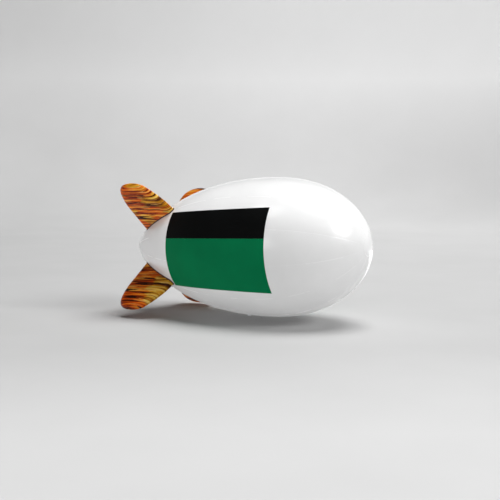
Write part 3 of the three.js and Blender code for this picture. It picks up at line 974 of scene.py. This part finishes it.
def fin_material(name, place, shade):
    """Streaked orange, brown and gold print: long hard-edged flecks along the hull."""
    paint = Paint(name)

    def streaks(shift, length, width, detail):
        spot = tuple(part + shift for part in place)
        along = paint.coordinates((1 / length, 0.2, 1 / width), spot, (0, -0.15, 0))
        return paint.noise(1.0, detail, along, 0.1)

    ahead = paint.add("SeparateXYZ", {"Vector": paint.here}).outputs["X"]
    ahead = paint.spread(ahead, -2.6, -1.4, -0.05, 0.72)
    drift = paint.spread(streaks(3, 0.9, 0.35, 3), 0.38, 0.62, -0.4, 0.4)
    gilt = paint.spread(paint.plus(ahead, drift), 0.34, 0.48, 0, 1)
    band = streaks(0, 0.95, 0.06, 6)
    # Where the band changes colour, and its warm and its gold colour there.
    bands = [
        (0.36, (84, 22, 0), (72, 30, 0)), (0.425, (140, 42, 1), (120, 64, 2)),
        (0.43, (188, 68, 3), (168, 98, 6)), (0.495, (208, 82, 5), (194, 122, 12)),
        (0.50, (232, 106, 12), (220, 150, 24)), (0.565, (240, 122, 20), (234, 170, 42)),
        (0.57, (250, 152, 42), (248, 196, 76)), (0.66, (255, 176, 66), (255, 214, 108)),
    ]
    warm = paint.ramp(band, [(at, linear(*colour)) for at, colour, _ in bands])
    gold = paint.ramp(band, [(at, linear(*colour)) for at, _, colour in bands])
    dark = paint.ramp(streaks(7, 0.8, 0.06, 5), [(0.40, 1.0), (0.408, 0.0)])
    spark = paint.ramp(streaks(13, 0.5, 0.03, 4), [(0.61, 0.0), (0.616, 0.7)])
    thread = paint.ramp(streaks(19, 0.6, 0.022, 4), [(0.40, 0.3), (0.45, 1.0)])
    colour = paint.mix(gilt, warm, gold)
    colour = paint.mix(dark, colour, linear(46, 13, 2))
    colour = paint.mix(spark, colour, linear(252, 190, 100))
    colour = paint.mix(0.75, colour, thread, "MULTIPLY")
    return paint.finish({
        # Painted shade: the print is darkened by the fin's own factor, for how the light falls on
        # that fin.
        "Base Color": paint.mix(1.0, colour, (shade, shade, shade), "MULTIPLY"),
        "Roughness": paint.drift(band, 0.3, 0.42),
        "Specular IOR Level": 0.12,
        "Normal": paint.bump(paint.noise(14, 2), 0.4 * MM),
    })


def tape_material(name, colour):
    """Satin welding tape with a fine grain."""
    paint = Paint(name)
    cloud = paint.noise(12, 3)
    return paint.finish({
        "Base Color": paint.cloudy(cloud, tuple(part * 0.7 for part in colour), colour),
        "Roughness": paint.drift(cloud, 0.36, 0.5),
        "Normal": paint.bump(paint.noise(420, 1), 0.2 * MM),
    })


def webbing_material(name):
    """Plain-woven polyester: two crossed sets of ribs, and a soft sheen."""
    paint = Paint(name)
    waves = []
    for direction, scale in (("X", 310), ("Y", 260)):
        inputs = {"Vector": paint.here, "Scale": scale, "Distortion": 0.6, "Detail": 1}
        waves.append(paint.add("TexWave", inputs, bands_direction=direction).outputs["Fac"])
    weave = paint.times(*waves)
    shade = paint.noise(160, 3)
    base = paint.cloudy(shade, linear(196, 198, 203), linear(226, 228, 232))
    return paint.finish({
        # Painted shade: the colour turns darker grey where the weave's ribs dip, as shade in its
        # hollows.
        "Base Color": paint.mix(weave, linear(180, 181, 184), base),
        "Roughness": paint.drift(shade, 0.7, 0.9),
        "Sheen Weight": 0.3,
        "Normal": paint.bump(weave, 0.5 * MM),
    })


def steel_material(name):
    """Polished steel wire with faint drawn lines."""
    paint = Paint(name)
    drawn = paint.noise(6, 3, paint.coordinates((40, 300, 40)))
    return paint.finish({
        "Base Color": paint.cloudy(drawn, linear(188, 190, 193), linear(204, 206, 209)),
        "Roughness": paint.drift(paint.noise(90, 3), 0.18, 0.26),
        "Metallic": 1.0,
        "Normal": paint.bump(drawn, 0.01 * MM),
    })


def plastic_material(name, colour):
    """Moulded plastic with a fine spark-eroded grain."""
    paint = Paint(name)
    cloud, grain = paint.noise(25, 3), paint.noise(900, 2)
    return paint.finish({
        "Base Color": paint.cloudy(cloud, tuple(part * 0.9 for part in colour), colour),
        "Roughness": paint.drift(grain, 0.38, 0.52),
        "Normal": paint.bump(grain, 0.08 * MM),
    })


def add_stage():
    """A round pale floor that sweeps up into a wall, well outside every view of the balloon, with
    painted light: a floor lighter to one side and a glowing wall.
    """
    flat, sweep, wall = 32.0, 12.0, 6.0
    outline = [(radius, 0.0) for radius in (0.0, 2.0, 6.0, 12.0, 20.0, flat)]
    for turn in np.linspace(0, math.pi / 2, 25)[1:]:
        outline.append((flat + sweep * math.sin(turn), sweep * (1 - math.cos(turn))))
    outline.append((flat + sweep, sweep + wall))
    turns = circle(128)
    grid = np.stack([
        points_of(radius * np.cos(turns), radius * np.sin(turns), FLOOR_HEIGHT + up)
        for radius, up in outline
    ])
    studio = add_object("studio_floor", grid, ring_faces(grid), 80)
    studio.matrix_world = FLOOR_TILT
    paint = Paint("studio_paint")
    # Painted light: the floor's colour grows lighter to the right and towards the camera, for how
    # the light falls across the studio.
    painted_light_tone = paint.spread(paint.distance_along(PICTURE_RIGHT), -12, 3, 0.365, 0.472)
    near = paint.spread(paint.distance_along(TOWARDS_CAMERA), 3.5, 9.5, 1.0, 1.2)
    mottle = paint.drift(paint.noise(0.35, 3), 0.98, 1.02)
    # Painted light: the wall glows though it is no lamp, more the higher it rises and the further
    # back and to the right it lies, to brighten the backdrop.
    height = paint.add("SeparateXYZ", {"Vector": paint.here}).outputs["Z"]
    rise = paint.spread(height, FLOOR_HEIGHT + 0.5, FLOOR_HEIGHT + 9, 0, 1)
    across = paint.spread(paint.distance_along(FAR_RIGHT), 5, 43, 0.12, 0.54)
    studio.data.materials.append(paint.finish({
        "Base Color": paint.times(paint.times(painted_light_tone, near), mottle),
        "Roughness": 0.9,
        "Specular IOR Level": 0.1,
        "Emission Color": (1, 1, 1),
        "Emission Strength": paint.times(rise, across),
    }))
    return studio


def add_area_light(name, place, aim, size, power):
    lamp = bpy.data.lights.new(name, "AREA")
    lamp.shape = "RECTANGLE"
    lamp.size, lamp.size_y = size
    lamp.energy = power
    light = bpy.data.objects.new(name, lamp)
    light.location = place
    light.rotation_euler = (Vector(aim) - Vector(place)).to_track_quat("-Z", "Y").to_euler()
    light.visible_camera = False
    bpy.context.scene.collection.objects.link(light)
    return light


def add_sun(name, azimuth, elevation, spread, strength):
    """A far light of that spread, in degrees; azimuth 0 comes from -Y and 90 from +X."""
    turn, rise = math.radians(azimuth), math.radians(elevation)
    away = Vector((
        math.cos(rise) * math.sin(turn), -math.cos(rise) * math.cos(turn), math.sin(rise)
    ))
    lamp = bpy.data.lights.new(name, "SUN")
    lamp.energy = strength
    lamp.angle = math.radians(spread)
    light = bpy.data.objects.new(name, lamp)
    light.rotation_euler = away.to_track_quat("Z", "Y").to_euler()
    bpy.context.scene.collection.objects.link(light)


def spare_floor(lights, studio):
    """Keeps the floor out of these lights, so that the balloon's shadow stays dark."""
    left_out = bpy.data.collections.new("left_out_of_fill")
    left_out.objects.link(studio)
    left_out.collection_objects[0].light_linking.link_state = "EXCLUDE"
    for light in lights:
        light.light_linking.receiver_collection = left_out


def add_floor_panel(name, x, y, size, power):
    """A light that lies on the floor and shines straight up from it."""
    below = FLOOR_TILT @ Vector((x, y, FLOOR_HEIGHT + 0.01))
    above = FLOOR_TILT @ Vector((x, y, 5.0))
    return add_area_light(name, below, above, size, power)


def add_lights(studio):
    add_sun("overhead_key", 120, 78, 36, 3.2)
    add_sun("nose_key", 88, 32, 22, 1.6)
    fills = [
        add_area_light("upper_softbox", (-3.5, -9.7, 14.7), (0, 0, 0), (8, 6), 330),
        add_area_light("tail_fill", (-4.0, -15.0, 1.5), (-1.5, 0, 0), (8, 4), 300),
        add_floor_panel("floor_bounce", -2.0, -0.8, (9, 6), 42),
        add_floor_panel("rim_panel", 2.0, 10.0, (12, 9), 500),
    ]
    spare_floor(fills, studio)
    world = bpy.data.worlds.new("studio_air")
    bpy.context.scene.world = world
    world.use_nodes = True
    background = world.node_tree.nodes["Background"]
    background.inputs["Color"].default_value = (1, 1, 1, 1)
    background.inputs["Strength"].default_value = 0.1


def add_camera():
    data = bpy.data.cameras.new("photo_camera")
    camera = bpy.data.objects.new("photo_camera", data)
    bpy.context.scene.collection.objects.link(camera)
    data.sensor_width = SENSOR_WIDTH_MM
    data.lens = FOCAL_LENGTH_PIXELS * SENSOR_WIDTH_MM / PHOTO_SIZE
    data.clip_end = 200
    to_hull = -CAMERA_PLACE.normalized()
    right = to_hull.cross(Vector((0, 0, 1))).normalized()
    up = right.cross(to_hull)
    middle = PHOTO_SIZE / 2
    aside = (HULL_CENTRE_PIXEL[0] - middle) / FOCAL_LENGTH_PIXELS
    below = (HULL_CENTRE_PIXEL[1] - middle) / FOCAL_LENGTH_PIXELS
    aim = to_hull - right * aside + up * below
    camera.location = CAMERA_PLACE
    camera.rotation_euler = aim.to_track_quat("-Z", "Y").to_euler()
    bpy.context.scene.camera = camera


def build():
    add_camera()
    white = linear(232, 232, 232)
    off_white = linear(228, 228, 228)
    hull = film_material("hull_film", white, off_white, 0.22, 0.5, 0.3)
    black = film_material("panel_black", linear(9, 10, 10), linear(6, 7, 7), 0.55, 0.03, 0.0)
    green = film_material("panel_green", linear(3, 114, 70), linear(2, 108, 66), 0.55, 0.03, 0.0)
    patch = film_material("patch_film", linear(228, 230, 233), linear(220, 222, 226), 0.4, 0.4, 0)
    add_gores(hull)
    add_end_caps(hull)
    add_panels(black, green)
    fins = {
        name: fin_material(f"fin_print_{name}", (3.1 * k, 1.7 * k, 5.3 * k), shade)
        for k, (name, (_, shade)) in enumerate(FINS.items())
    }
    add_fins(fins)
    # Partly painted shade: the welded tape is real, and its dark brown also stands in for the
    # shade in the corner along each fin's root.
    add_fin_cuffs(tape_material("cuff_tape", linear(66, 30, 10)))
    add_patches(patch)
    thread = webbing_material("stitch_thread")
    add_webbing(webbing_material("webbing"), thread)
    add_rings(steel_material("ring_steel"))
    plastic = plastic_material("valve_plastic", linear(224, 226, 229))
    # Painted shade: the spider at the cup's bottom gets a darker copy of the valve plastic.
    add_valve(plastic, plastic_material("valve_plastic_painted_shade", linear(120, 122, 126)))
    add_lights(add_stage())
    scene = bpy.context.scene
    scene.view_settings.view_transform = "Standard"
    scene.view_settings.look = "None"


build()
